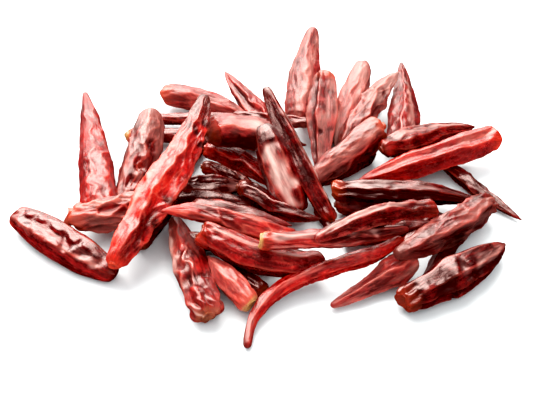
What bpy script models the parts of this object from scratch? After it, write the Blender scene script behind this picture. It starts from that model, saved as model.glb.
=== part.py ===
"""A loose heap of dried red chillies, lying as they fell on a table: those that show and some under them."""

import math
import random
from dataclasses import dataclass

import bpy
from mathutils import Matrix, Vector

MM = 0.001

# How a pod is faceted: rings from the stem end to the tip, and sides round each ring.
RINGS_SHOWN = 9
SIDES_SHOWN = 8
RINGS_UNDER = 6
SIDES_UNDER = 6

# A pod is a little flatter than it is wide, and its skin dips between lengthwise folds by this share.
FLATTENED = 0.92
GROOVE_DEPTH = 0.07
# How far the rounded shoulder and then the short stem stub reach past the pod's stem end, in mm.
SHOULDER = 1.8
STEM_STUB_LONG = 2.6

# The low core under the middle of the heap, in mm.
CORE_PLACE = (2, 8)
CORE_HALF_LONG = 38
CORE_HALF_DEEP = 29
CORE_HIGH = 10
CORE_SIDES = 16

# The heap sinks this far into the table, which is then cut off flat: small flat spots to rest on.
SINK = 0.7
TABLE_CUT_WIDE = 400
TABLE_CUT_DEEP = 20

# The middle of the heap's box before it is moved onto the origin, in mm.
HEAP_MIDDLE = (-0.445, 19.758)


@dataclass
class Pod:
    """One dried chilli, in mm: the middle of its stem end and its tip, its width, how blunt its stem end is,
    how far it bows to its left, hooks the other way near the tip and arches up, where along its length it is
    widest, how late it tapers, and how wide its tip and its stem stub are as shares of the half-width."""

    stem: tuple
    tip: tuple
    width: float
    blunt: float = 0.4
    bow: float = 0.0
    hook: float = 0.0
    arch: float = 0.0
    widest: float = 0.3
    taper: float = 2.1
    tip_wide: float = 0.12
    stub_wide: float = 0.24


# The pods that show in the heap, and the plainer ones that lie under them.
PODS_SHOWN = {
    "far_left": Pod((-115, -6, 8), (-68, -41, 5), 18, 0.35, -1, 0, 1, 0.45, 3, 0.5),
    "left_upright": Pod((-77, -3, 8), (-93, 92, 6), 18, 0.5, -1, 0, 0, 0.15, 1.7, 0.16),
    "back_left_pale": Pod((-51, 88, 9), (-9, 72, 6), 14, 0.45, 3, 0, 0, 0.3, 2.1, 0.12, 0.36),
    "back_tip_up": Pod((2, 66, 6), (-21, 104, 11), 12, 0.3, 1, 0, 0, 0.3, 1.7),
    "tallest": Pod((17, 62, 12), (24, 121, 26), 18, 0.3, 1, 0, 0, 0.25, 1.6, 0.3),
    "back_pale": Pod((50, 102, 18), (34, 48, 7), 14, 0.3, 0, 0, 0, 0.4, 2.1, 0.12, 0.1),
    "back_right_tip": Pod((66, 43, 7), (70, 109, 13), 18, 0.3, -1, 0, 0, 0.2, 1.5),
    "right_far_tip": Pod((86, 35, 6), (117, -2, 3), 9, 0.4, -1),
    "orange_stub": Pod((-67, 57.5, 6), (-30, 57, 5), 9, 0.5, 1, 0, 0, 0.3, 2.1, 0.12, 0.5),
    "back_bar_left": Pod((-59, 73, 5), (-15, 71, 9), 8, 0.4, -2),
    "left_back": Pod((-57, 62, 14), (-68, 4, 5), 19, 0.45, 2, 0, 0, 0.35, 2.6, 0.3, 0.12),
    "back_bar_right": Pod((-14, 66, 11), (22, 56, 15), 9.5, 0.4, 0, 0, 0, 0.5, 2.4, 0.3),
    "back_right_mauve": Pod((39, 45, 10), (66, 92, 19), 16, 0.4, 2, 0, 0, 0.5, 2),
    "inner_red": Pod((-28, 43, 9), (4, 16, 7), 13, 0.5, 3),
    "inner_dark_upper": Pod((-29, 31, 7), (-4, 15, 5), 10, 0.3, 2),
    "inner_dark_lower": Pod((-40, 13, 8), (-9, 18, 6), 14.5, 0.3, 1),
    "upright_ridged": Pod((29, 79, 26), (26, 31, 7), 16, 0.5, 0, 0, 0, 0.4, 2.4, 0.3, 0.28),
    "right_back_bar": Pod((56, 34, 16), (103, 67, 4), 15, 0.6, 1, 0, 0, 0.35, 2),
    "inner_dark_front": Pod((-12, 13, 9), (24, -8, 8), 12, 0.4, -3, -1),
    "inner_pale_top": Pod((-27, 40, 22), (12, 30, 19), 17, 0.8, 5, 0, 0, 0.4, 2.4, 0.3, 0.3),
    "mauve_centre": Pod((54, 44, 20), (22, 19, 9), 17, 0.9, 0, 0, 0, 0.35, 2.6, 0.5, 0.22),
    "bright_right": Pod((109, 45, 14), (45, 18, 10), 15.5, 0.8, 2, 0, 1, 0.4, 2.4, 0.15, 0.6),
    "front_mauve": Pod((-25, -69, 8), (-42, -8, 7), 18, 0.6, 0, 0, 0, 0.25, 2, 0.3, 0.3),
    "front_under": Pod((-2, -54, 6), (-23, -39, 6), 12, 0.3, -1),
    "front_green": Pod((-8, -62, 8), (-25, -39, 12), 13, 0.4, 0, 0, 0, 0.3, 2.1, 0.12, 0.34),
    "left_cross": Pod((-88.5, -12, 13), (-46, 1, 12), 19.5, 0.3, -2, 0, 0, 0.45, 2.6, 0.4, 0.32),
    "centre_sheen": Pod((14, 0, 7), (-1, 34, 28), 18, 0.35, 1, 0, 1, 0.45, 2.4, 0.45),
    "dark_right": Pod((33, 7, 13), (98, 5, 7), 13, 0.5, 0, 1, 2, 0.4, 2.2, 0.15, 0.55),
    "behind_crumpled": Pod((62, -22, 4), (76, -3, 6), 7, 0.3),
    "front_right": Pod((57, -63, 8), (106, -25, 7), 19, 0.3, -2, 0, 1, 0.5, 2.2, 0.12, 0.42),
    "front_right_tip": Pod((64, -37, 9), (29, -60, 4), 15, 0.5, 1, 0, 0, 0.3, 0.9, 0.26),
    "crumpled": Pod((102, 1, 10), (57, -43, 18), 18, 0.3, 2, 0, 0, 0.4, 2.1, 0.3, 0.4),
    "big_left": Pod((-67, -43, 13), (-30, 51, 33), 22.5, 0, -4, -1, 1, 0.38, 1.6, 0.34, 0.28),
    "diagonal": Pod((29, -7, 8), (0, 54, 36), 12.5, 0.3, 1, 0, 0, 0.45, 2.6, 0.35),
    "front_upper": Pod((10, -26, 13), (-45, -21, 24), 13.5, 0.4, -2, -1, 1, 0.4, 1.9, 0.15),
    "front_curved": Pod((-27, -32, 20), (23, -39, 10), 15.5, 0.6, -7, -1, 0, 0.3, 3.2, 0.5, 0.45),
    "front_long": Pod((58, -30, 14), (-8, -82, 3), 11.5, 0.6, -10, -5, 2, 0.4, 2, 0.2),
    "yellow_stub": Pod((-1, -43, 26), (61, -29, 20), 10.5, 0.6, -2, 0, 0, 0.35, 2.6, 0.3, 0.55),
    "ridge_right": Pod((73, -17, 22), (22, -46, 30), 12, 0.5, -3, 0, 1, 0.4, 2.2, 0.35, 0.45),
}
PODS_UNDER = {
    "under_tallest": Pod((18, 73, 4), (22, 118, 4), 10, 0.3),
    "under_back_right": Pod((43, 71, 4), (58, 86, 4), 9, 0.3, 1),
    "under_big_left": Pod((-57, -22, 6), (-37, 32, 7), 13, 0.5),
    "under_upper": Pod((-36, -21, 6), (8, -22, 6), 12),
    "under_upper_second": Pod((-32, -9, 16), (10, -17, 12), 12),
    "under_centre": Pod((7, 42, 7), (15, 4, 5), 13, 0.5),
    "under_dark_right": Pod((34, 4, 6), (82, -2, 5), 11, 0.5),
    "under_ridge": Pod((36, -19, 6), (78, -9, 6), 12),
    "under_crumpled": Pod((94, -4, 5), (67, -48, 4), 10),
    "under_mauve": Pod((50, 44, 5), (26, 20, 5), 10, 0.5),
    "under_bright": Pod((64, 29, 5), (98, 43, 5), 9),
    "under_pale_top": Pod((-24, 56, 7), (18, 50, 6), 13, 0.5),
    "under_left_far": Pod((-44, 28, 6), (-26, 66, 5), 11),
    "under_middle_left": Pod((-44, 9, 5), (-4, 5, 5), 13),
    "under_middle_front": Pod((-16, -34, 6), (24, -30, 5), 11),
    "under_middle_right": Pod((24, 12, 6), (30, -16, 5), 10),
    "under_back_middle": Pod((46, 57, 5), (23, 63, 4), 10),
    "under_right_far": Pod((75, 42, 5), (98, 56, 4), 9),
}

# Pods that rest on each other. A small pad joins each pair where their middle lines come closest.
PAD_HALF_WIDTH = 2.2
TOUCHING = (
    ("far_left", "big_left"),
    ("big_left", "under_big_left"),
    ("left_cross", "left_upright"),
    ("left_back", "orange_stub"),
    ("orange_stub", "under_pale_top"),
    ("under_pale_top", "inner_pale_top"),
    ("under_pale_top", "inner_red"),
    ("inner_pale_top", "inner_red"),
    ("back_bar_left", "back_left_pale"),
    ("back_left_pale", "back_tip_up"),
    ("back_tip_up", "back_bar_right"),
    ("back_bar_right", "tallest"),
    ("tallest", "under_tallest"),
    ("tallest", "upright_ridged"),
    ("upright_ridged", "mauve_centre"),
    ("back_pale", "back_right_mauve"),
    ("back_right_mauve", "mauve_centre"),
    ("back_right_mauve", "under_back_right"),
    ("under_back_right", "back_right_tip"),
    ("back_right_tip", "right_back_bar"),
    ("right_back_bar", "mauve_centre"),
    ("mauve_centre", "under_mauve"),
    ("bright_right", "under_bright"),
    ("bright_right", "right_far_tip"),
    ("dark_right", "bright_right"),
    ("dark_right", "under_dark_right"),
    ("under_dark_right", "under_ridge"),
    ("under_crumpled", "behind_crumpled"),
    ("crumpled", "under_crumpled"),
    ("crumpled", "front_right_tip"),
    ("front_right", "under_crumpled"),
    ("front_right_tip", "front_long"),
    ("front_long", "front_curved"),
    ("yellow_stub", "front_long"),
    ("yellow_stub", "ridge_right"),
    ("front_curved", "front_under"),
    ("front_under", "front_green"),
    ("front_green", "front_mauve"),
    ("front_upper", "big_left"),
    ("front_upper", "under_upper_second"),
    ("under_upper_second", "under_upper"),
    ("under_upper_second", "inner_dark_front"),
    ("under_upper", "front_mauve"),
    ("centre_sheen", "inner_dark_front"),
    ("diagonal", "centre_sheen"),
    ("diagonal", "inner_pale_top"),
    ("under_left_far", "orange_stub"),
    ("under_left_far", "under_big_left"),
    ("under_middle_left", "under_upper_second"),
    ("under_middle_front", "under_upper"),
    ("under_back_middle", "back_right_mauve"),
    ("under_right_far", "right_back_bar"),
    ("under_crumpled", "under_ridge"),
    ("under_centre", "inner_red"),
)


def clear_scene():
    for thing in list(bpy.data.objects):
        bpy.data.objects.remove(thing, do_unlink=True)


def chilli_skin():
    skin = bpy.data.materials.new("dried_chilli_skin")
    skin.use_nodes = True
    surface = skin.node_tree.nodes["Principled BSDF"]
    surface.inputs["Base Color"].default_value = (0.33, 0.012, 0.01, 1)
    surface.inputs["Roughness"].default_value = 0.35
    return skin


def half_width_at(pod, place):
    """The half-width in mm at a place along the pod: from the stem stub a rounded rise to the widest place,
    squarer where the end is blunter, and from there a slow fall to the slim tip."""
    half = pod.width / 2
    length = (Vector(pod.tip) - Vector(pod.stem)).length
    if place < pod.widest:
        from_widest = (pod.widest - place) * length / (pod.widest * length + SHOULDER)
        square = 1.6 + 2 * pod.blunt
        share = (1 - from_widest**square) ** (1 / square)
        return half * (pod.stub_wide + (1 - pod.stub_wide) * share)
    fall = (place - pod.widest) / (1 - pod.widest)
    return half * (pod.tip_wide + (1 - pod.tip_wide) * max(0.0, 1 - fall**pod.taper) ** 0.85)


def middle_line(pod, place):
    """The middle of the pod at a place from 0 at the stem end to 1 at the tip."""
    stem = Vector(pod.stem)
    along = Vector(pod.tip) - stem
    left = Vector((-along.y, along.x, 0)).normalized()
    swell = 4 * place * (1 - place)
    swerve = 10.4 * place * (1 - place) * (2 * place - 1)
    sideways = left * (pod.bow * swell + pod.hook * swerve)
    return stem + along * place + sideways + Vector((0, 0, pod.arch * swell))


def ring_points(middle, forward, half_width, sides, turn):
    """One ring round the middle line, flattened a little and dented in by three lengthwise grooves."""
    left = Vector((0, 0, 1)).cross(forward).normalized()
    up = forward.cross(left)
    points = []
    for side in range(sides):
        angle = math.tau * (side + 0.5) / sides
        reach = half_width * (1 - GROOVE_DEPTH * (0.5 + 0.5 * math.sin(3 * angle + turn)))
        points.append(middle + left * (reach * math.cos(angle)) + up * (reach * FLATTENED * math.sin(angle)))
    return points


def closed_tube(name, rings):
    """A mesh through the rings, closed by a point at each end."""
    sides = len(rings[0])
    points = [point for ring in rings for point in ring]
    faces = []
    for ring in range(len(rings) - 1):
        for side in range(sides):
            here = ring * sides + side
            beside = ring * sides + (side + 1) % sides
            faces.append((here, beside, beside + sides, here + sides))
    last = (len(rings) - 1) * sides
    faces.append(tuple(range(sides))[::-1])
    faces.append(tuple(range(last, last + sides)))
    mesh = bpy.data.meshes.new(name)
    mesh.from_pydata([point * MM for point in points], [], faces)
    return mesh


def pod_body(name, pod, rings, sides):
    turn = random.Random(name).uniform(0, math.tau)
    start = middle_line(pod, 0.0)
    forward = (middle_line(pod, 0.05) - start).normalized()
    stub = pod.width / 2 * pod.stub_wide
    sections = [ring_points(start - forward * STEM_STUB_LONG, forward, stub, sides, turn)]
    for ring in range(rings):
        place = (ring / (rings - 1)) ** 1.15
        forward = middle_line(pod, min(1.0, place + 0.02)) - middle_line(pod, max(0.0, place - 0.02))
        reach = half_width_at(pod, place)
        sections.append(ring_points(middle_line(pod, place), forward.normalized(), reach, sides, turn))
    return closed_tube(name, sections)


def pad(one, other, pods):
    """A four-sided strut between the closest points of two middle lines, so only its middle shows."""
    places = [step / 20 for step in range(1, 20)]
    lines = [[middle_line(pods[name], place) for place in places] for name in (one, other)]
    pairs = ((near, far) for near in lines[0] for far in lines[1])
    near, far = min(pairs, key=lambda pair: (pair[0] - pair[1]).length)
    forward = (far - near).normalized()
    across = forward.orthogonal().normalized() * PAD_HALF_WIDTH
    beside = forward.cross(across)
    rings = [[end + across, end + beside, end - across, end - beside] for end in (near, far)]
    return closed_tube(f"pad_{one}_{other}", rings)


def core():
    """A low mound with a flat underside, under the middle of the heap."""
    rings = []
    for share, height in ((1.0, -2.0), (1.0, 2.0), (0.8, 7.0), (0.45, CORE_HIGH)):
        ring = []
        for side in range(CORE_SIDES):
            angle = math.tau * side / CORE_SIDES
            across = CORE_PLACE[0] + CORE_HALF_LONG * share * math.cos(angle)
            deep = CORE_PLACE[1] + CORE_HALF_DEEP * share * math.sin(angle)
            ring.append(Vector((across, deep, height)))
        rings.append(ring)
    return closed_tube("core", rings)


def table_cutter():
    deep = TABLE_CUT_DEEP
    half = TABLE_CUT_WIDE / 2
    corners = ((-half, -half), (half, -half), (half, half), (-half, half))
    rings = []
    for height in (SINK - deep, SINK):
        rings.append([Vector((x, y, height)) for x, y in corners])
    return closed_tube("table_cutter", rings)


def add_object(mesh, collection):
    thing = bpy.data.objects.new(mesh.name, mesh)
    collection.objects.link(thing)
    return thing


def apply_boolean(target, operation, collection):
    """Runs one Boolean with all that the collection holds, applies it and removes the collection's objects."""
    change = target.modifiers.new("join", "BOOLEAN")
    change.operation = operation
    change.operand_type = "COLLECTION"
    change.collection = collection
    change.solver = "MANIFOLD"
    bpy.context.view_layer.objects.active = target
    bpy.ops.object.modifier_apply(modifier=change.name)
    for thing in list(collection.objects):
        bpy.data.objects.remove(thing, do_unlink=True)


def main():
    clear_scene()
    scene = bpy.context.scene
    pieces = bpy.data.collections.new("pieces")
    scene.collection.children.link(pieces)
    heap = add_object(core(), scene.collection)
    heap.name = "chilli_heap"
    heap.data.materials.append(chilli_skin())
    for name, pod in PODS_SHOWN.items():
        add_object(pod_body(name, pod, RINGS_SHOWN, SIDES_SHOWN), pieces)
    for name, pod in PODS_UNDER.items():
        add_object(pod_body(name, pod, RINGS_UNDER, SIDES_UNDER), pieces)
    pods = {**PODS_SHOWN, **PODS_UNDER}
    for one, other in TOUCHING:
        add_object(pad(one, other, pods), pieces)
    apply_boolean(heap, "UNION", pieces)
    add_object(table_cutter(), pieces)
    apply_boolean(heap, "DIFFERENCE", pieces)
    heap.data.transform(Matrix.Translation(Vector((-HEAP_MIDDLE[0], -HEAP_MIDDLE[1], -SINK)) * MM))


main()
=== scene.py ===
import math
from dataclasses import dataclass

import bpy
import numpy as np
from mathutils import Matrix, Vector


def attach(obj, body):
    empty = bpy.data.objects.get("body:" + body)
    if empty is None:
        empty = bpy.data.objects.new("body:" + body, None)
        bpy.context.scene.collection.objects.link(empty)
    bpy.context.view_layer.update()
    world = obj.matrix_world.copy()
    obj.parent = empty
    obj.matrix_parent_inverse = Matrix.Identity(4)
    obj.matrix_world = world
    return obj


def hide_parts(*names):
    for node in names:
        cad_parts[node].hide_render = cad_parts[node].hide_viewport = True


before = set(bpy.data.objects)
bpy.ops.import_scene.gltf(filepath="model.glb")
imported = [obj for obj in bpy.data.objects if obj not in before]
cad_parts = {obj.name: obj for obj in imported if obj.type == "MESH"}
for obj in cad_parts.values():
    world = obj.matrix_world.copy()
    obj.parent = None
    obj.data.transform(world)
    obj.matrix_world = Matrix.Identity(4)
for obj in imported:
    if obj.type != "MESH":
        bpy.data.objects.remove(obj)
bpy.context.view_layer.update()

MM = 0.001

# The middle of the heap's own layout, in mm: it is moved onto the origin, and the heap sinks to its flat
# spots.
HEAP_MIDDLE = np.array([-0.445, 19.758, 0.7])

# How far apart the points of a pod's skin are, in mm: on the pods that show, and on those underneath.
SPACING_SHOWN = 0.62
SPACING_UNDER = 1.4

# A pod is a little flatter than it is wide, and before it shrivels a little wider than it ends up.
FLATTENED = 0.92
PLUMP = 1.05
# How far the stem end's shoulder and the tip's rounding reach past the pod's ends, in mm.
SHOULDER = 1.8
TIP_CAP = 1.6
# How deep the hollow of the stem scar is, in mm, and its rings as shares of the neck's half-width.
SCAR_DEEP = 1.1
SCAR_RINGS = np.array([0.06, 0.25, 0.45, 0.65, 0.85])

# How long and wide a dent is, in mm.
LARGE_DENT = (17.0, 5.5)
SMALL_DENT = (7.5, 2.6)
# How deep the skin shrivels: folds and flat sides as shares of the half-width, the rest in mm.
FOLD_DEEP = 0.36
FLAT_DEEP = 0.05
LARGE_DENT_DEEP = 1.5
SMALL_DENT_DEEP = 0.32
WRINKLE_DEEP = 0.08
DENTED_WRINKLE_DEEP = 0.16
FINE_WRINKLE_DEEP = 0.07
# No ring closes further than this, and no skin comes nearer to the table, in mm.
THINNEST = 0.04
ABOVE_TABLE = 0.08

# The heap is seen from the front, looking down at this angle, from this far in metres.
CAMERA_PITCH = math.radians(40)
CAMERA_FAR = 0.64
CAMERA_LENS = 94.0
LOOK_AT = (0.0004, -0.0198, 0.0113)
TOWARDS_VIEWER = np.array([0, -math.cos(CAMERA_PITCH), math.sin(CAMERA_PITCH)])

# The picture's exposure, the haze that is taken out of it, and the colours of the lights, the room and the
# table.
EXPOSURE = 1.06
HAZE = 0.0018
WARM_WHITE = (1.0, 0.95, 0.9)
COOL_WHITE = (0.92, 0.97, 1, 1)
WHITE_PAPER = (0.79, 0.845, 0.875, 1)

# The skin's colours from its darkest tone to its brightest.
SKIN_TONES = [
    (0.0, (0.02, 0.0006, 0.0008)),
    (0.25, (0.085, 0.001, 0.0014)),
    (0.5, (0.26, 0.003, 0.003)),
    (0.75, (0.52, 0.009, 0.005)),
    (1.0, (0.7, 0.038, 0.016)),
]
# Pale colours that the skin blends towards: partly dust on the skin, partly painted sheen and glare where the
# light from behind catches it.
DUST_AND_SHEEN_MAROON = (0.36, 0.1, 0.1, 1)
DUST_AND_SHEEN_SCARLET = (0.7, 0.2, 0.14, 1)
PALE_DUST_AND_SHEEN_PINK = (0.8, 0.46, 0.4, 1)
# A painted highlight along the crests.
CREST_HIGHLIGHT = (0.66, 0.13, 0.08, 1)
ORANGE_CALYX = (0.75, 0.07, 0.015, 1)
BROWN_TIP = (0.075, 0.018, 0.013, 1)
STRAW_SCAR = (0.6, 0.4, 0.13, 1)
# The stem scar's dark hole: partly its own colour, partly painted shade in the recess.
SCAR_HOLE_AND_SHADE = (0.16, 0.02, 0.008, 1)
RED_GLOSS = (1.0, 0.62, 0.58, 1)

# The fineness of each pattern of the skin: about this many patches to a metre.
BLOTCHES = 75.0
PANES = 130.0
CREASES = 300.0
CRACKS = 380.0
MOTTLE = 420.0
STRANDS = 620.0


@dataclass
class Mark:
    """A hollow, a ridge or a patch of another colour on a pod: its place from stem to tip, how far it is
    turned to the right of the side that faces the viewer, and its half-length and half-width in mm. Many
    marks paint light: paler patches along rims, tops and facets are painted highlights, and a darker tone in
    grooves, dents and on shaded sides is painted shade."""

    place: float
    turn: float
    long: float
    wide: float
    deep: float = 0.0
    tone: float = 0.0
    bloom: float = 0.0


@dataclass
class Pod:
    """One dried chilli: where it lies in mm, how it curves, and how its skin dried. It bows to the left,
    hooks in an S and arches upward by so many mm, and its other measures are shares of its width or length.
    The crest is how many degrees its first sharp ridge is turned from the viewer."""

    stem: tuple
    tip: tuple
    width: float
    blunt: float = 0.4
    bow: float = 0.0
    hook: float = 0.0
    arch: float = 0.0
    widest: float = 0.3
    taper: float = 2.1
    tip_wide: float = 0.12
    calyx_wide: float = 0.24
    neck: float = 0.8
    flare: float = -0.15
    pleats: float = 0.05
    wander: float = 1.0
    ridges: float = 0.5
    dents: float = 0.5
    crest: float = 0.0
    tone: float = 0.4
    # Pale dust on the skin, which also paints sheen and glare.
    bloom: float = 0.2
    calyx: float = 0.25
    brown_tip: float = 0.3
    scar: float = 0.05


SCARLET = {
    "big_left": Pod((-65.5, -43, 13), (-30, 51, 33), 22.5, 0.0, -4, -1, 1, 0.38, 1.5, 0.27, 0.28,
                    dents=0.6, ridges=0.8, crest=50, wander=0.5, tone=1.02, bloom=0.0, brown_tip=0.9),
    "front_long": Pod((58, -30, 14), (-8, -82, 3), 9.2, 0.6, -10, -5, 2, 0.4, 2.0, 0.4, ridges=0.6,
                      dents=0.25, crest=35, tone=0.8, bloom=0.0, brown_tip=0.9),
    "bright_right": Pod((109, 45, 14), (45, 18, 10), 15.5, 0.8, 2, 0, 1, 0.4, 2.4, 0.15, 0.6, ridges=0.9,
                        dents=0.1, crest=5, wander=0.35, tone=0.9, bloom=0.15, calyx=0.5),
    "front_upper": Pod((10, -26, 13), (-45, -21, 24), 13.5, 0.4, -2, -1, 1, 0.4, 1.9, 0.15, dents=0.7,
                       ridges=0.6, crest=-20, tone=0.66, bloom=0.7, brown_tip=0.0),
    "front_curved": Pod((-27, -32, 20), (23, -39, 10), 15.5, 0.6, -7, -1, 0, 0.3, 3.2, 0.6, 0.45,
                        pleats=0.14, ridges=0.6, dents=0.35, crest=30, wander=0.5, tone=0.64, bloom=0.05,
                        calyx=0.3),
    "front_green": Pod((-8, -62, 8), (-25, -39, 12), 13, 0.4, calyx_wide=0.46, neck=0.5, flare=0.0,
                       ridges=0.6, dents=0.5, tone=0.85, bloom=1.35, calyx=0.6, scar=0.9),
    "inner_red": Pod((-28, 43, 9), (4, 16, 7), 13, 0.5, 3, ridges=0.8, dents=0.3, tone=0.68, bloom=0.0),
}
# The pale pods at the back: much of their pale dusty colour is painted glare from the light behind them, the
# rest dust on the skin.
PALE = {
    "left_upright": Pod((-77, -3, 8), (-93, 92, 6), 18, 0.5, -1, 0, 0, 0.15, 1.7, 0.16, ridges=0.3,
                        dents=0.2, tone=0.78, bloom=0.0),
    "back_left_pale": Pod((-51, 88, 9), (-9, 72, 6), 14, 0.45, 3, calyx_wide=0.36, ridges=0.4, dents=0.4,
                          tone=0.72, bloom=0.9, calyx=1.0),
    "back_tip_up": Pod((2, 66, 6), (-21, 104, 11), 12, 0.3, 1, taper=1.7, ridges=1.0, dents=0.3,
                       crest=-40, tone=0.78, bloom=0.75),
    "tallest": Pod((17, 62, 12), (24, 121, 26), 18, 0.3, 1, 0, 0, 0.25, 1.6, 0.3, ridges=0.4, dents=0.4,
                   tone=0.65, bloom=1.2, calyx=0.1),
    "back_pale": Pod((50, 102, 18), (34, 48, 7), 14, 0.3, 0, 0, 0, 0.4, ridges=0.35, dents=0.3,
                     calyx_wide=0.1, pleats=0.0, tone=0.68, bloom=1.45, calyx=0.0),
    "back_right_tip": Pod((66, 43, 7), (70, 109, 13), 18, 0.3, -1, 0, 0, 0.2, 1.5, 0.12, ridges=0.7,
                          dents=0.3, crest=-10, wander=0.4, tone=0.62, bloom=0.5),
    "back_right_mauve": Pod((39, 45, 10), (66, 92, 19), 16, 0.4, 2, 0, 0, 0.5, 2.0, 0.12, ridges=0.9,
                            dents=1.0, tone=0.58, bloom=1.45),
    "upright_ridged": Pod((29, 79, 26), (26, 31, 7), 16, 0.5, 0, 0, 0, 0.4, 2.4, 0.3, 0.28, ridges=0.8,
                          dents=0.1, crest=25, wander=0.3, tone=0.66, bloom=1.3, calyx=0.9),
    "inner_pale_top": Pod((-27, 40, 22), (12, 30, 19), 17, 0.8, 5, 0, 0, 0.4, 2.4, 0.3, 0.3, ridges=0.45,
                          dents=0.1, crest=-15, wander=0.5, tone=0.72, bloom=0.6, calyx=0.4),
}
MAUVE = {
    "left_back": Pod((-57, 62, 14), (-68, 4, 5), 19, 0.45, 2, 0, 0, 0.35, 2.6, 0.3, 0.12, dents=0.6,
                     ridges=0.4, pleats=0.0, tone=0.5, bloom=1.1, calyx=0.0),
    "left_cross": Pod((-86, -12, 13), (-46, 1, 12), 19.5, 0.3, -2, 0, 0, 0.45, 2.6, 0.4, 0.42, 1.8,
                      flare=0.1, dents=1.0, ridges=0.7, tone=0.68, bloom=1.1, calyx=0.9),
    "mauve_centre": Pod((54, 44, 20), (22, 19, 9), 17, 0.9, 0, 0, 0, 0.35, 2.6, 0.5, 0.22, 2.2,
                        ridges=0.5, dents=0.55, crest=-30, tone=0.54, bloom=1.0, calyx=1.0),
    "crumpled": Pod((102, 1, 10), (57, -43, 18), 18, 0.3, 2, 0, 0, 0.4, 2.1, 0.3, 0.4, pleats=0.2,
                    ridges=1.0, dents=0.6, wander=0.6, tone=0.44, bloom=1.0, brown_tip=1.0),
    "front_right": Pod((60, -61, 8), (106, -25, 7), 19, 0.3, -2, 0, 1, 0.5, 2.2, 0.12, 0.4, 0.5,
                       pleats=0.16, ridges=0.6, dents=0.1, crest=35, wander=0.4, tone=0.42, bloom=0.1,
                       calyx=0.35, scar=0.0),
    "front_mauve": Pod((-25, -69, 8), (-42, -8, 7), 18, 0.6, 0, 0, 0, 0.25, 2.0, 0.3, 0.32, 0.7,
                       pleats=0.16, ridges=0.6, dents=0.25, tone=0.58, bloom=0.85, calyx=0.1, scar=0.15),
    "orange_stub": Pod((-67, 57.5, 6), (-30, 57, 5), 9, 0.5, 1, calyx_wide=0.5, neck=1.0, tone=0.5,
                       bloom=0.5, calyx=1.0, scar=0.8),
    "back_bar_left": Pod((-59, 73, 5), (-15, 71, 9), 8, 0.4, -2, tone=0.5, bloom=0.4, calyx=0.1),
    "back_bar_right": Pod((-14, 66, 11), (22, 56, 15), 9.5, 0.4, 0, 0, 0, 0.5, 2.4, 0.3, ridges=0.9,
                          tone=0.5, bloom=0.6, calyx=0.1),
    "yellow_stub": Pod((-1, -43, 26), (61, -29, 20), 10.5, 0.6, -2, 0, 0, 0.35, 2.6, 0.3, 0.6, 0.6, 0.0,
                       ridges=0.8, dents=0.4, crest=10, tone=0.68, bloom=1.0, calyx=0.6, scar=0.9),
}
MAROON = {
    "far_left": Pod((-113.5, -6, 8), (-68, -41, 5), 18, 0.35, -1, 0, 1, 0.45, 3.0, 0.5, ridges=0.4,
                    dents=0.12, crest=5, wander=0.4, tone=0.48, bloom=0.0),
    "centre_sheen": Pod((14, 0, 7), (-1, 34, 28), 18, 0.35, 1, 0, 1, 0.45, 2.4, 0.45, ridges=0.35,
                        dents=0.0, crest=-45, wander=0.15, tone=0.46, bloom=0.1, calyx=0.1,
                        brown_tip=0.3),
    "ridge_right": Pod((73, -17, 22), (22, -46, 30), 12, 0.5, -3, 0, 1, 0.4, 2.2, 0.35, 0.45, ridges=0.9,
                       dents=0.3, crest=20, tone=0.6, bloom=0.55),
    "front_right_tip": Pod((64, -37, 9), (29, -60, 4), 15, 0.5, 1, 0, 0, 0.3, 0.9, 0.22, ridges=1.1,
                           dents=0.4, crest=20, wander=0.5, tone=0.7, bloom=1.25),
    "right_back_bar": Pod((56, 34, 16), (103, 67, 4), 15, 0.6, 1, 0, 0, 0.35, 2.0, 0.12, ridges=0.6,
                          dents=0.4, crest=20, wander=0.6, tone=0.55, bloom=0.35, calyx=0.1),
    "right_far_tip": Pod((86, 35, 6), (117, -2, 3), 9, 0.4, -1, ridges=1.2, dents=0.5, crest=30,
                         tone=0.35, bloom=0.0),
    "behind_crumpled": Pod((62, -22, 4), (76, -3, 6), 7, 0.3, tone=0.4, bloom=0.2),
}
DARK = {
    "diagonal": Pod((29, -7, 8), (0, 54, 36), 12.5, 0.3, 1, 0, 0, 0.45, 2.6, 0.35, ridges=0.9, dents=0.1,
                    crest=35, wander=0.2, tone=0.42, bloom=0.0, calyx=0.1, brown_tip=1.0),
    "inner_dark_upper": Pod((-29, 31, 7), (-4, 15, 5), 10, 0.3, 2, ridges=0.9, crest=20, tone=0.3,
                            bloom=0.0),
    "inner_dark_lower": Pod((-40, 13, 8), (-9, 18, 6), 14.5, 0.3, 1, ridges=0.9, crest=25, tone=0.3,
                            bloom=0.15),
    "inner_dark_front": Pod((-12, 13, 9), (24, -8, 8), 12, 0.4, -3, -1, ridges=0.8, dents=0.2, crest=20,
                            tone=0.3, bloom=0.1),
    "dark_right": Pod((33, 7, 13), (98, 5, 7), 13, 0.5, 0, 1, 2, 0.4, 2.2, 0.15, 0.55, pleats=0.18,
                      ridges=1.0, dents=0.25, crest=30, wander=0.4, tone=0.28, bloom=0.0, calyx=0.8),
    "front_under": Pod((-2, -54, 6), (-23, -39, 6), 12, 0.3, -1, ridges=0.7, tone=0.25, bloom=0.0,
                       calyx=0.1),
}
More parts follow.
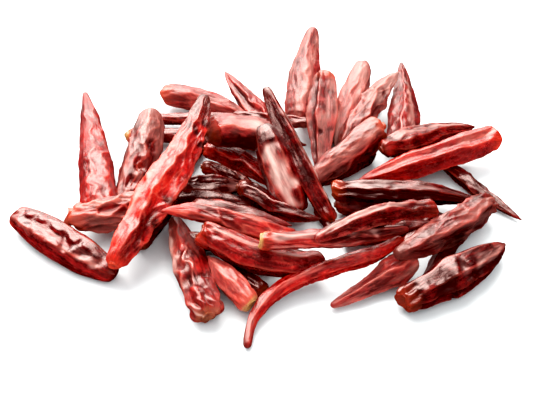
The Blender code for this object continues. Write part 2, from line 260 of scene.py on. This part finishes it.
MARKS = {
    "far_left": [
        # A groove darkened as painted shade, then a ridge and a facet paled as painted highlights.
        Mark(0.38, -18, 24, 3.6, deep=1.5, tone=-0.1, bloom=-0.5),
        Mark(0.34, 14, 22, 2.2, deep=-0.6, bloom=0.8),
        Mark(0.80, -8, 11, 4.5, deep=0.9, bloom=1.3),
        Mark(0.50, 55, 45, 4.0, tone=0.2),
    ],
    "left_back": [
        # Three dents, darkened as painted shade.
        Mark(0.64, -12, 5, 3.0, deep=1.8, bloom=-0.9),
        Mark(0.80, -5, 4, 3.0, deep=1.5, bloom=-0.9),
        Mark(0.40, -30, 5, 2.5, deep=1.2, bloom=-0.9),
    ],
    "big_left": [
        # A pale stripe along the edge and a pale patch on top are painted highlights; the hollow with less
        # paleness is painted shade.
        Mark(0.45, -55, 45, 2.0, deep=-0.5, bloom=1.3),
        Mark(0.36, 12, 13, 5.0, deep=0.9, tone=0.1, bloom=-0.5),
        Mark(0.14, 20, 17, 8.0, tone=-0.42, bloom=0.2),
        Mark(0.62, -8, 16, 5.0, bloom=0.9),
        Mark(0.55, 60, 40, 5.0, tone=-0.25),
        Mark(0.98, 0, 21, 30, tone=-0.6),
    ],
    # A groove darkened as painted shade.
    "back_tip_up": [Mark(0.45, -5, 14, 3.0, deep=1.0, tone=-0.15, bloom=-0.5)],
    "inner_pale_top": [
        # The first mark is painted shade on the underside; the last is a painted highlight on the top.
        Mark(0.50, 45, 40, 6.0, tone=-0.55, bloom=-0.4),
        Mark(0.10, 5, 9, 8.0, tone=0.25),
        Mark(0.60, -40, 25, 5.0, bloom=1.0),
    ],
    "inner_red": [Mark(0.05, 0, 8, 9.0, tone=0.35)],
    # A painted highlight along the right edge.
    "diagonal": [Mark(0.55, 55, 45, 1.6, deep=-0.3, bloom=1.6)],
    "centre_sheen": [
        Mark(0.90, 0, 11, 14, tone=-0.25),
        # A big pale facet: painted highlight.
        Mark(0.40, -8, 17, 6.5, deep=1.3, tone=0.15, bloom=2.0),
    ],
    "inner_dark_lower": [Mark(0.92, 0, 7, 6.0, bloom=1.2)],
    "tallest": [Mark(0.60, -42, 3, 3.0, tone=0.1, bloom=-1.2)],
    "upright_ridged": [
        # A side darkened as painted shade.
        Mark(0.60, 50, 40, 3.0, deep=0.4, tone=-0.2, bloom=-1.2),
        Mark(0.15, 30, 14, 6.0, tone=-0.1, bloom=-0.9),
    ],
    "back_right_mauve": [Mark(0.20, 0, 15, 12.0, tone=-0.05, bloom=-1.0)],
    "mauve_centre": [Mark(0.50, -60, 40, 4.0, tone=-0.3, bloom=-0.5)],
    "back_right_tip": [
        # A groove darkened as painted shade.
        Mark(0.50, -20, 28, 4.0, deep=1.2, bloom=-0.6),
        Mark(0.45, 30, 30, 3.0, bloom=0.8),
    ],
    "right_back_bar": [
        Mark(0.50, 30, 35, 5.0, tone=-0.15, bloom=-0.5),
        # A pale rim: painted highlight.
        Mark(0.50, -50, 40, 2.0, bloom=1.2),
    ],
    "bright_right": [
        # A light top along the pod: painted highlight.
        Mark(0.50, 45, 50, 3.0, bloom=1.0),
        Mark(0.50, -30, 50, 4.0, tone=0.05, bloom=-0.4),
    ],
    "dark_right": [
        # A painted highlight along the top edge, then painted shade on the underside.
        Mark(0.45, -45, 45, 2.0, bloom=1.2),
        Mark(0.50, 35, 60, 5.0, tone=-0.3),
    ],
    "front_right": [
        # The first two marks are facets paled as painted highlights; the third is a dent darkened as painted
        # shade.
        Mark(0.78, -12, 17, 6.0, deep=0.7, bloom=1.2),
        Mark(0.49, 8, 10, 4.0, deep=1.1, bloom=0.4),
        Mark(0.27, -5, 8, 7.0, deep=0.6, tone=-0.25, bloom=-0.5),
        Mark(0.50, 38, 45, 2.5, tone=-0.2, bloom=-0.5),
        Mark(0.02, 0, 7, 20, tone=-0.1),
    ],
    # A pale rim: painted highlight.
    "front_curved": [Mark(0.50, -50, 30, 2.0, bloom=1.5)],
    "front_upper": [
        Mark(0.95, 0, 8, 9.0, tone=0.35, bloom=0.2),
        Mark(0.18, 0, 13, 7.0, tone=0.25, bloom=0.4),
    ],
    "yellow_stub": [
        Mark(0.35, 55, 30, 2.0, tone=0.35, bloom=0.5),
        Mark(0.25, 10, 6, 3.0, deep=1.0, tone=0.2, bloom=-0.6),
        # A pale top: painted highlight.
        Mark(0.30, -30, 25, 3.0, bloom=1.0),
        Mark(0.75, 10, 22, 6.0, tone=-0.35, bloom=-0.4),
    ],
    "ridge_right": [
        # A painted highlight along the top, then painted shade on the face turned to the viewer.
        Mark(0.55, 45, 30, 2.5, bloom=1.5),
        Mark(0.50, -10, 40, 4.0, tone=-0.15, bloom=-0.5),
    ],
    "front_mauve": [
        # A crease darkened as painted shade, then an edge fold paled as painted highlight.
        Mark(0.25, -5, 4, 6.0, deep=1.5, tone=-0.2),
        Mark(0.60, -45, 25, 2.0, deep=-0.4, bloom=1.0),
    ],
    # A pale strip along the pod: painted highlight.
    "front_long": [Mark(0.50, 20, 45, 1.5, bloom=1.2)],
}
# The pods underneath fill the heap; their darker tones partly paint the deep shade seen in the gaps between
# the pods above.
UNDER = {
    "under_tallest": Pod((18, 73, 4), (22, 118, 4), 10, 0.3),
    "under_back_right": Pod((43, 71, 4), (58, 86, 4), 9, 0.3, 1),
    "under_big_left": Pod((-57, -22, 6), (-37, 32, 7), 13, 0.5, tone=0.25),
    "under_upper": Pod((-36, -21, 6), (8, -22, 6), 12, 0.4, tone=0.25, bloom=0.0),
    "under_upper_second": Pod((-32, -9, 16), (10, -17, 12), 12, 0.4),
    "under_centre": Pod((7, 42, 7), (15, 4, 5), 13, 0.5, tone=0.3),
    "under_dark_right": Pod((34, 4, 6), (82, -2, 5), 11, 0.5, tone=0.3),
    "under_ridge": Pod((36, -19, 6), (78, -9, 6), 12, 0.4, tone=0.3),
    "under_crumpled": Pod((94, -4, 5), (67, -48, 4), 10, 0.4, tone=0.3),
    "under_mauve": Pod((50, 44, 5), (26, 20, 5), 10, 0.5, tone=0.25, bloom=0.0),
    "under_bright": Pod((64, 29, 5), (98, 43, 5), 9, 0.4, tone=0.3),
    "under_pale_top": Pod((-24, 56, 7), (18, 50, 6), 13, 0.5, tone=0.3),
    "under_left_far": Pod((-44, 28, 6), (-26, 66, 5), 11, 0.4),
    "under_middle_left": Pod((-44, 9, 5), (-4, 5, 5), 13, 0.4, tone=0.2, bloom=0.0),
    "under_middle_front": Pod((-16, -34, 6), (24, -30, 5), 11, 0.4, tone=0.25),
    "under_middle_right": Pod((24, 12, 6), (30, -16, 5), 10, 0.4, tone=0.25),
    "under_back_middle": Pod((46, 57, 5), (23, 63, 4), 10, 0.4),
    "under_right_far": Pod((75, 42, 5), (98, 56, 4), 9, 0.4),
}


def half_width_along(pod, along, length):
    """Half-width in mm. From the neck to the widest place a superellipse, squarer where the end is blunter;
    from there a slow fall to the slim tip, which closes in a quarter ellipse past the pod's end."""
    half = pod.width / 2
    widest = pod.widest * length
    neck_half = pod.calyx_wide * half
    from_widest = np.clip((widest - along) / (widest + SHOULDER), 0, 1)
    square = 1.6 + 2 * pod.blunt
    body = neck_half + (half - neck_half) * (1 - from_widest**square) ** (1 / square)
    fall = np.clip((along - widest) / (length - widest), 0, 1)
    point = pod.tip_wide + (1 - pod.tip_wide) * np.clip(1 - fall**pod.taper, 0, 1) ** 0.85
    past_tip = np.clip((along - length) / TIP_CAP, 0, 1)
    point = point * np.sqrt(np.clip(1 - past_tip**2, 0.004, 1))
    return np.where(along < widest, body, half * point)


def middle_line(pod, place):
    """Straight from stem end to tip, plus a half-wave bow to the left, a full-wave hook and a half-wave
    arch."""
    stem = np.array(pod.stem, float)
    run = np.array(pod.tip, float) - stem
    left = np.array([-run[1], run[0], 0.0]) / math.hypot(run[0], run[1])
    swell = 4 * place * (1 - place)
    swerve = 10.4 * place * (1 - place) * (2 * place - 1)
    side = pod.bow * swell + pod.hook * swerve
    return stem + np.outer(place, run) + np.outer(side, left) + np.outer(pod.arch * swell, [0, 0, 1])


def waves(draw, along, angle, wavelength, turns, count=14):
    """A sum of sine waves that run along and round the pod, each with a whole number of turns, so the seam
    closes."""
    total = np.zeros(np.broadcast(along, angle).shape)
    for _ in range(count):
        pace = math.tau / (wavelength * draw.uniform(0.7, 1.8)) * draw.choice([-1, 1])
        slant = draw.integers(0, turns + 1) * angle
        total = total + np.sin(pace * along + slant + draw.uniform(0, math.tau))
    return total / math.sqrt(count / 2)


def lengthwise_folds(draw, along, angle, first_crest, wandering):
    """Depth between wandering crest lines: 0 on a crest, and a half sine across to the next crest. The skin
    creases sharply along each crest and lies hollow between."""
    crests = draw.integers(4, 7)
    gaps = draw.uniform(0.6, 1.4, crests)
    edges = np.concatenate([[0.0], np.cumsum(gaps)]) / gaps.sum() * math.tau
    wander = 0.16 * waves(draw, along, 0 * angle, 55.0, 0, 6) + 0.1 * waves(draw, along, angle, 14.0, 2, 8)
    wander = wander * wandering
    turned = (angle + wander - first_crest) % math.tau
    cell = np.clip(np.searchsorted(edges, turned, side="right") - 1, 0, crests - 1)
    across = (turned - edges[cell]) / (edges[cell + 1] - edges[cell])
    depth = draw.uniform(0.45, 1.0, crests)[cell]
    return np.sin(math.pi * across) ** 0.8 * depth


def dents(draw, along, angle, half, long, wide):
    """Many shallow hollows that meet in sharp ridges: 0 on a ridge and 1 deep in a hollow, from the distances
    to the nearest and the second nearest of a jittered net of centres, on a skin unrolled and then warped by
    waves."""
    reach = np.ptp(along)
    rows = max(3, int(reach / long))
    columns = max(4, int(math.tau * half / wide))
    row, column = np.meshgrid(np.arange(-1, rows + 1), np.arange(columns), indexing="ij")
    row_jitter = draw.uniform(-0.45, 0.45, row.shape)
    column_jitter = draw.uniform(-0.42, 0.42, row.shape)
    centre_along = along.min() + (row + 0.5 + row_jitter) * reach / rows
    centre_angle = (column + 0.5 * (row % 2) + column_jitter) * math.tau / columns
    warped_along = along + 0.22 * long * waves(draw, along, angle, long * 1.6, 4, 10)
    warped_angle = angle + 0.16 * waves(draw, along, angle, long * 1.6, 4, 10)
    nearest = np.full(angle.shape, 9.0)
    second = np.full(angle.shape, 9.0)
    for at, turn in zip(centre_along.ravel(), centre_angle.ravel()):
        round_off = (warped_angle - turn + math.pi) % math.tau - math.pi
        far = np.hypot((warped_along - at) / long, round_off * half / wide)
        second = np.minimum(second, np.maximum(nearest, far))
        nearest = np.minimum(nearest, far)
    return 1 - np.exp(-(second - nearest) * 3.0)


def pod_frame(pod, place):
    """The middle line's points, and at each the direction along it and the sideways and upward ones across
    it, worked out as cross products."""
    lead = middle_line(pod, place + 0.01) - middle_line(pod, place - 0.01)
    forward = lead / np.linalg.norm(lead, axis=1, keepdims=True)
    left = np.cross([0, 0, 1], forward)
    left /= np.linalg.norm(left, axis=1, keepdims=True)
    return middle_line(pod, place), forward, left, np.cross(forward, left)


def rings_along(pod, length, spacing):
    """How far along the pod each ring lies, in mm: the stem scar, the neck, the shoulder, the body in even
    steps, and the tip's rounding, whose steps shorten as a sine does."""
    neck_end = -SHOULDER - pod.neck
    scar = np.full(len(SCAR_RINGS), neck_end)
    neck = np.linspace(neck_end, -SHOULDER, 6)[:-1]
    shoulder = -SHOULDER * (1 - np.linspace(0, 1, 9)[:-1] ** 2)
    body = np.linspace(0, length, int(length / spacing))
    close = length + TIP_CAP * np.sin(np.linspace(0, 1, 6)[1:] * math.pi / 2)
    return np.concatenate([scar, neck, shoulder, body, close])


def ring_reach(draw, pod, along, length):
    """Each ring's half-width in mm before it shrivels: the pod's own, uneven by slow waves, flared or pinched
    down the neck as a square, and turned in at the scar."""
    reach = half_width_along(pod, along, length) * PLUMP
    reach = reach * (1 + 0.035 * waves(draw, along, 0 * along, 24.0, 0, 5))
    down_neck = np.clip((-SHOULDER - along) / pod.neck, 0, 1)
    reach = reach * (1 + pod.flare * down_neck**2)
    reach[: len(SCAR_RINGS)] *= SCAR_RINGS
    return reach


def shrivel(draw, pod, along, angle, facing, share, ends):
    """How deep the skin sinks, in mm, and how far it is hollow or a crest, from 0 to 1. It is the sum of
    folds, flat sides, dents and wrinkles, each less where the pod is slimmer."""
    half = pod.width / 2
    folds = lengthwise_folds(draw, along, angle, facing + math.radians(pod.crest), pod.wander)
    large = dents(draw, along, angle, half, *LARGE_DENT)
    small = dents(draw, along, angle, half, *SMALL_DENT)
    patchy = np.clip(0.6 + 0.35 * waves(draw, along, angle, 30.0, 2, 8), 0, 1)
    wrinkles = np.abs(waves(draw, along, angle, 18.0, 7, 10))
    fine = np.abs(waves(draw, along, angle, 16.0, 13, 14))
    twist = 0.03 * along * draw.uniform(-1, 1)
    flat = 0.5 + 0.5 * np.cos(2 * angle + twist + draw.uniform(0, math.tau))
    wrinkle_deep = WRINKLE_DEEP + DENTED_WRINKLE_DEEP * pod.dents
    dented = LARGE_DENT_DEEP * pod.dents * large * patchy + SMALL_DENT_DEEP * pod.dents * small
    depth = (FOLD_DEEP * half * pod.ridges * folds + FLAT_DEEP * half * flat) * share
    depth = depth + dented * share
    depth = depth + (wrinkle_deep * wrinkles + FINE_WRINKLE_DEEP * fine) * share
    # The hollow and crest masks later paint shade into the hollows and highlights along the crests.
    hollow = np.clip(0.75 * folds * pod.ridges + 0.5 * large * pod.dents * patchy, 0, 1) * ends
    crest = np.clip(1 - 3.2 * np.minimum(folds + 0.08, large + 0.25 * (1 - pod.dents)), 0, 1) * ends
    return depth, hollow, crest


def add_marks(draw, name, pod, along, angle, facing, depth):
    """Depth, tone, and dust and sheen, with the pod's own marks added; many marks paint highlights and shade.
    A mark is a ragged oval that fades out as the exponential of a fourth power."""
    length = math.dist(pod.stem, pod.tip)
    tone = np.full(angle.shape, pod.tone)
    bloom = np.full(angle.shape, pod.bloom)
    ragged = 1 + 0.22 * waves(draw, along, angle, 9.0, 4, 8)
    for mark in MARKS.get(name, []):
        turned = (angle - facing - math.radians(mark.turn) + math.pi) % math.tau - math.pi
        away = np.hypot((along - mark.place * length) / mark.long, turned * (pod.width / 2) / mark.wide)
        patch = np.exp(-((away * ragged) ** 4))
        depth = depth + mark.deep * patch
        tone = tone + mark.tone * patch
        bloom = bloom + mark.bloom * patch
    return depth, tone, bloom


def pod_skin(name, pod, spacing):
    """A closed skin of rings round the middle line. A ring's radius is the half-width along the pod, less its
    flattening, folds, dents and wrinkles, and near the stem less its pleats. The stem end is a short neck
    that turns in to a small hollow scar."""
    draw = np.random.default_rng([ord(letter) for letter in name])
    half = pod.width / 2
    length = math.dist(pod.stem, pod.tip)
    along = rings_along(pod, length, spacing)
    reach = ring_reach(draw, pod, along, length)
    centre_along = along.copy()
    centre_along[: len(SCAR_RINGS)] += SCAR_DEEP * (1 - SCAR_RINGS**2)
    centre, forward, left, up = pod_frame(pod, centre_along / length)
    middle = len(along) // 2
    facing = math.atan2(up[middle] @ TOWARDS_VIEWER, left[middle] @ TOWARDS_VIEWER)
    sides = int(math.pi * pod.width / spacing)
    ring_turn = np.arange(sides) * math.tau / sides
    grid_along, grid_angle = np.meshgrid(along, ring_turn, indexing="ij")

    ends = np.clip(grid_along / 5.0, 0, 1) * np.clip((length - grid_along) / 6.0, 0.15, 1)
    share = reach[:, None] / half
    depth, hollow, crest = shrivel(draw, pod, grid_along, grid_angle, facing, share, ends)
    depth, tone, bloom = add_marks(draw, name, pod, grid_along, grid_angle, facing, depth)
    pleats = draw.integers(7, 10)
    pleat = np.cos(pleats * grid_angle + 0.8 * waves(draw, grid_along, grid_angle, 9.0, 2, 6))
    near_stem = np.exp(-((np.clip(grid_along, 0, None) / 4.0) ** 2))
    puckered = near_stem * np.clip(0.4 + (grid_along + SHOULDER) / 4.0, 0, 1)
    depth = depth * ends + pod.pleats * reach[:, None] * (1 + pleat) * puckered
    skin = np.maximum(reach[:, None] - depth, THINNEST)
    lopsided = np.cos(grid_angle - draw.uniform(0, math.tau))
    crumple = lopsided + 0.6 * waves(draw, grid_along, grid_angle, 9.0, 3, 5)
    shove = 0.2 * skin * crumple * near_stem

    across = (skin * np.cos(grid_angle))[..., None] * left[:, None]
    rise = (skin * FLATTENED * np.sin(grid_angle))[..., None] * up[:, None]
    points = centre[:, None] + across + rise + shove[..., None] * forward[:, None] - HEAP_MIDDLE
    points[..., 2] = np.maximum(points[..., 2], ABOVE_TABLE)
    # hollow and crest later paint shade into the hollows and highlights along the crests, the pale dust also
    # paints sheen, and hole paints the scar's dark hole, partly as shade.
    looks = {
        "tone": tone,
        "bloom": np.clip(bloom, 0, 2),
        "hollow": hollow,
        "crest": crest,
        "calyx": np.clip(1 - (grid_along + 1.5) / 6.0, 0, 1) * pod.calyx,
        "hole": np.clip(1.3 - np.arange(len(along)) * 0.5, 0, 1)[:, None] + 0 * skin,
        "scar": np.clip(1.2 - (grid_along + SHOULDER + pod.neck) / 1.4, 0, 1) * pod.scar,
        "dry_tip": np.clip((grid_along / length - 0.86) / 0.14, 0, 1) * pod.brown_tip,
    }
    round_pod = np.stack([grid_along, half * np.cos(grid_angle), half * np.sin(grid_angle)], -1)
    return points, looks, round_pod + draw.uniform(0, 500, 3)


def skin_mesh(name, pods, spacing):
    """All pods of one kind as one mesh: quads between rings, and a fan to one point at each end."""
    points, faces, coords = [], [], []
    looks = {}
    offset = 0
    for pod_name, pod in pods.items():
        grid, kept, flat = pod_skin(pod_name, pod, spacing)
        count, sides = grid.shape[:2]
        ring, side = np.meshgrid(np.arange(count - 1), np.arange(sides), indexing="ij")
        here = offset + ring * sides + side
        beside = offset + ring * sides + (side + 1) % sides
        quads = np.stack([here, beside, beside + sides, here + sides], -1).reshape(-1, 4)
        first, last = offset + count * sides, offset + count * sides + 1
        turn = np.arange(sides)
        after = (turn + 1) % sides
        start_fan = np.stack([np.full(sides, first), offset + after, offset + turn], -1)
        end_row = offset + (count - 1) * sides
        end_fan = np.stack([np.full(sides, last), end_row + turn, end_row + after], -1)
        points.append(np.vstack([grid.reshape(-1, 3), grid[0].mean(0), grid[-1].mean(0)]))
        faces += quads.tolist() + start_fan.tolist() + end_fan.tolist()
        coords.append(np.vstack([flat.reshape(-1, 3), flat[0].mean(0), flat[-1].mean(0)]))
        for look, value in kept.items():
            at_ends = [value[0, 0], value[-1, 0]]
            looks.setdefault(look, []).append(np.concatenate([value.ravel(), at_ends]))
        offset += count * sides + 2
    mesh = bpy.data.meshes.new(name)
    mesh.from_pydata(np.concatenate(points) * MM, [], faces)
    for look, parts in looks.items():
        layer = mesh.attributes.new(look, "FLOAT", "POINT")
        layer.data.foreach_set("value", np.concatenate(parts).astype(np.float32))
    layer = mesh.attributes.new("round_pod", "FLOAT_VECTOR", "POINT")
    layer.data.foreach_set("vector", (np.concatenate(coords) * MM).astype(np.float32).ravel())
    mesh.shade_smooth()
    thing = bpy.data.objects.new(name, mesh)
    bpy.context.scene.collection.objects.link(thing)
    return thing


class Mix:
    """A socket that can be used in sums: each operator adds the Math node that works it out."""

    def __init__(self, socket):
        self.socket = socket

    def chain(self, operation, other=0.0, swap=False):
        tree = self.socket.node.id_data
        node = tree.nodes.new("ShaderNodeMath")
        node.operation = operation
        values = [other, self] if swap else [self, other]
        for slot, value in zip(node.inputs, values):
            if isinstance(value, Mix):
                tree.links.new(value.socket, slot)
            else:
                slot.default_value = value
        return Mix(node.outputs[0])

    def __add__(self, other):
        return self.chain("ADD", other)

    def __sub__(self, other):
        return self.chain("SUBTRACT", other)

    def __rsub__(self, other):
        return self.chain("SUBTRACT", other, swap=True)

    def __mul__(self, other):
        return self.chain("MULTIPLY", other)

    __radd__ = __add__
    __rmul__ = __mul__

    def size(self):
        return self.chain("ABSOLUTE")

    def clamped(self):
        return self.chain("MINIMUM", 1.0).chain("MAXIMUM", 0.0)


class Nodes:
    """A node tree with one way to add any node: its type, its settings, then the values or links of its
    sockets."""

    def __init__(self, tree):
        self.tree = tree

    def add(self, kind, settings=None, output=None, **sockets):
        node = self.tree.nodes.new(kind)
        for setting, value in (settings or {}).items():
            if setting == "stops":
                self.set_stops(node.color_ramp, value)
            else:
                setattr(node, setting, value)
        inputs = {slot.name.replace(" ", "_"): slot for slot in node.inputs if slot.enabled}
        for name, value in sockets.items():
            self.put(inputs[name], value)
        outputs = {slot.name: slot for slot in node.outputs if slot.enabled}
        return Mix(outputs[output] if output else list(outputs.values())[0])

    def set_stops(self, ramp, stops):
        while len(ramp.elements) < len(stops):
            ramp.elements.new(0.5)
        for element, (place, colour) in zip(ramp.elements, stops):
            element.position = place
            element.color = (*colour, 1)

    def put(self, socket, value):
        if isinstance(value, Mix):
            self.tree.links.new(value.socket, socket)
        else:
            socket.default_value = value

    def attribute(self, name, output="Fac"):
        return self.add("ShaderNodeAttribute", {"attribute_name": name}, output)

    def noise(self, place, scale, detail=3.0, rough=0.5, warp=0.0):
        inputs = {"Vector": place, "Scale": scale, "Detail": detail, "Roughness": rough, "Distortion": warp}
        return self.add("ShaderNodeTexNoise", **inputs)

    def blend(self, share, base, over):
        return self.add("ShaderNodeMix", {"data_type": "RGBA"}, Factor=share, A=base, B=over)


def new_material(name):
    material = bpy.data.materials.new(name)
    material.use_nodes = True
    return material, Nodes(material.node_tree), material.node_tree.nodes["Principled BSDF"].inputs


def chilli_skin(name, coat, rough, grain):
    """Dry glossy skin: a tone from near-black maroon to scarlet, mottled, with painted highlights along the
    crests, painted shade in the hollows and in thin creases that run mostly lengthwise, patches of pale dust
    that also paint sheen and glare, an orange stem end, a straw-coloured scar whose dark hole is partly
    painted shade, and a brown tip."""
    material, skin, shader = new_material(name)
    spot = skin.add("ShaderNodeTexCoord", output="Object")
    round_pod = skin.attribute("round_pod", "Vector")
    tone = skin.attribute("tone")
    bloom = skin.attribute("bloom")
    hollow = skin.attribute("hollow")
    crest = skin.attribute("crest")
    blotches = skin.noise(spot, BLOTCHES, 4.0, 0.6, 0.6)
    mottle = skin.noise(spot, MOTTLE, 5.0, 0.65)
    lengthwise = skin.add("ShaderNodeMapping", Vector=round_pod, Scale=(0.28, 1.0, 1.0))
    strands = skin.noise(lengthwise, STRANDS, 3.0, 0.55, 0.5)
    folds = skin.noise(lengthwise, CREASES, 4.0, 0.6, 0.9)
    creases = (1 - (folds * 2 - 1).size() * 4).clamped()
    crossing = skin.noise(round_pod, CRACKS, 3.0, 0.6, 0.7)
    cracks = (1 - (crossing * 2 - 1).size() * 5).clamped()

    level = tone * 0.8 + (blotches - 0.5) * 0.9 + (mottle - 0.5) * 0.5 + (strands - 0.5) * 0.3
    # Painted shade: darker in the hollows and the thin creases. Painted highlight: lighter on the crests.
    level = (level - hollow * 0.26 + crest * 0.14 - creases * 0.22).clamped()
    colour = skin.add("ShaderNodeValToRGB", {"stops": SKIN_TONES}, Fac=level)
    panes = ((skin.noise(lengthwise, PANES, 2.0, 0.45, 0.4) - 0.45) * 5).clamped()
    # Pale dust that also paints sheen: patchy and in strands, taken out of the hollows and creases as painted
    # shade, and added on the crests as painted highlight.
    dust_and_sheen = bloom * (panes * 0.9 + strands * 0.5 - 0.05) + (bloom - 1.1).clamped() * 0.9
    dust_and_sheen = dust_and_sheen - hollow * 0.35 - creases * 0.2 + crest * 0.2
    haze = skin.blend(tone, DUST_AND_SHEEN_MAROON, DUST_AND_SHEEN_SCARLET)
    haze = skin.blend((bloom - 0.9).clamped(), haze, PALE_DUST_AND_SHEEN_PINK)
    colour = skin.blend((dust_and_sheen * 0.34).clamped(), colour, haze)
    # A painted highlight along the crests.
    colour = skin.blend((crest * tone * 0.6).clamped(), colour, CREST_HIGHLIGHT)
    calyx = skin.attribute("calyx") * (0.1 + mottle * 1.2)
    colour = skin.blend(calyx.clamped() * 0.7, colour, ORANGE_CALYX)
    dry_tip = skin.attribute("dry_tip") * blotches * 1.6
    colour = skin.blend(dry_tip.clamped() * 0.75, colour, BROWN_TIP)
    scar = skin.attribute("scar")
    colour = skin.blend((scar * (mottle * 3 - 0.6)).clamped() * 0.85, colour, STRAW_SCAR)
    # The scar's dark hole: partly its own colour, partly painted shade in the recess.
    colour = skin.blend(skin.attribute("hole") * 0.75, colour, SCAR_HOLE_AND_SHADE)
    skin.put(shader["Base Color"], colour)
    dull = rough + mottle * 0.2 + bloom * 0.1 + hollow * 0.05 + scar * 0.3
    skin.put(shader["Roughness"], dull.clamped())
    height = strands * 0.5 + crossing * 0.3 + mottle * 0.15 - creases * 0.4 - cracks * 0.2
    bump = skin.add("ShaderNodeBump", Height=height, Strength=grain, Distance=0.0004)
    skin.put(shader["Normal"], bump)
    shader["Specular IOR Level"].default_value = 0.7
    shader["Specular Tint"].default_value = RED_GLOSS
    shader["Coat Weight"].default_value = coat
    shader["Coat Roughness"].default_value = 0.14
    return material


def lay_pods():
    """Each kind of skin is one piece: its pods, its coat, its roughness and how strongly its grain stands
    out."""
    kinds = {
        "scarlet_pods": (SCARLET, 0.1, 0.14, 0.4),
        "pale_back_pods": (PALE, 0.1, 0.22, 0.5),
        "mauve_pods": (MAUVE, 0.1, 0.12, 0.35),
        "maroon_pods": (MAROON, 0.1, 0.1, 0.35),
        "dark_pods": (DARK, 0.1, 0.08, 0.25),
    }
    for name, (pods, coat, rough, grain) in kinds.items():
        finish_piece(skin_mesh(name, pods, SPACING_SHOWN), coat, rough, grain)
    finish_piece(skin_mesh("hidden_pods", UNDER, SPACING_UNDER), 0.1, 0.16, 0.4)


def finish_piece(piece, coat, rough, grain):
    piece.data.materials.append(chilli_skin(piece.name + "_skin", coat, rough, grain))
    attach(piece, "root")
    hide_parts("chilli_heap")


def lay_floor():
    """One flat square of plain white paper, 6 m wide."""
    mesh = bpy.data.meshes.new("floor")
    half = 3.0
    corners = [(-half, -half, 0), (half, -half, 0), (half, half, 0), (-half, half, 0)]
    mesh.from_pydata(corners, [], [(0, 1, 2, 3)])
    floor = bpy.data.objects.new("floor", mesh)
    bpy.context.scene.collection.objects.link(floor)
    material, _, shader = new_material("white_paper")
    shader["Base Color"].default_value = WHITE_PAPER
    shader["Roughness"].default_value = 0.6
    mesh.materials.append(material)
    floor.visible_glossy = False


def add_sun(name, place, strength, spread, glossy=True, diffuse=True):
    """A soft far light, shining from place to the middle of the table; spread is its breadth in the sky. A
    light that isn't glossy brightens the skins without showing in their gloss, and one that isn't diffuse
    shows only there."""
    light = bpy.data.lights.new(name, "SUN")
    light.energy = strength
    light.color = WARM_WHITE
    light.angle = math.radians(spread)
    lamp = bpy.data.objects.new(name, light)
    lamp.location = place
    lamp.visible_glossy = glossy
    lamp.visible_diffuse = diffuse
    lamp.rotation_euler = Vector(place).to_track_quat("Z", "Y").to_euler()
    bpy.context.scene.collection.objects.link(lamp)


def light_the_table():
    """A key light and a low rim light from behind on the left, soft fills from overhead and in front, and a
    dim room that looks white. The gloss of the skins also shows a wide bright window behind the heap."""
    add_sun("key_light", (-0.25, 0.6, 1.0), 2.8, 58)
    add_sun("rim_light", (-0.25, 1.0, 0.45), 1.4, 70)
    add_sun("overhead_light", (0.1, -0.3, 1.0), 0.7, 90, glossy=False)
    add_sun("front_fill", (0.2, -0.8, 1.0), 0.3, 110, glossy=False)
    add_sun("window_gloss", (-0.25, 0.8, 0.85), 1.5, 44, diffuse=False)
    world = bpy.data.worlds.new("studio")
    bpy.context.scene.world = world
    world.use_nodes = True
    world.cycles_visibility.glossy = False
    room = Nodes(world.node_tree)
    seen = room.add("ShaderNodeLightPath", output="Is Camera Ray")
    background = world.node_tree.nodes["Background"].inputs
    room.put(background["Strength"], 0.34 + seen * 0.66)
    background["Color"].default_value = COOL_WHITE


def place_camera():
    camera = bpy.data.cameras.new("camera")
    camera.lens = CAMERA_LENS
    camera.sensor_width = 36.0
    camera.clip_end = 20.0
    holder = bpy.data.objects.new("camera", camera)
    holder.location = np.array(LOOK_AT) + TOWARDS_VIEWER * CAMERA_FAR
    holder.rotation_euler = (math.pi / 2 - CAMERA_PITCH, 0, 0)
    bpy.context.scene.collection.objects.link(holder)
    bpy.context.scene.camera = holder


def develop_picture():
    """Plain display colours, exposed for the pods, so that the table is white, with the haze taken out, the
    brightest reds held back and the dark ones kept pure."""
    view = bpy.context.scene.view_settings
    view.view_transform = "Standard"
    view.exposure = EXPOSURE
    view.use_curve_mapping = True
    curves = view.curve_mapping
    curves.black_level = (HAZE, HAZE, HAZE)
    curves.white_level = (1.8, 1.8, 1.8)
    curves.curves[3].points.new(0.3, 0.5)
    curves.curves[3].points.new(0.68, 0.88)
    for channel in (1, 2):
        curves.curves[channel].points.new(0.02, 0.016)
        curves.curves[channel].points.new(0.08, 0.077)
    curves.update()


def main():
    place_camera()
    lay_pods()
    lay_floor()
    light_the_table()
    develop_picture()


main()
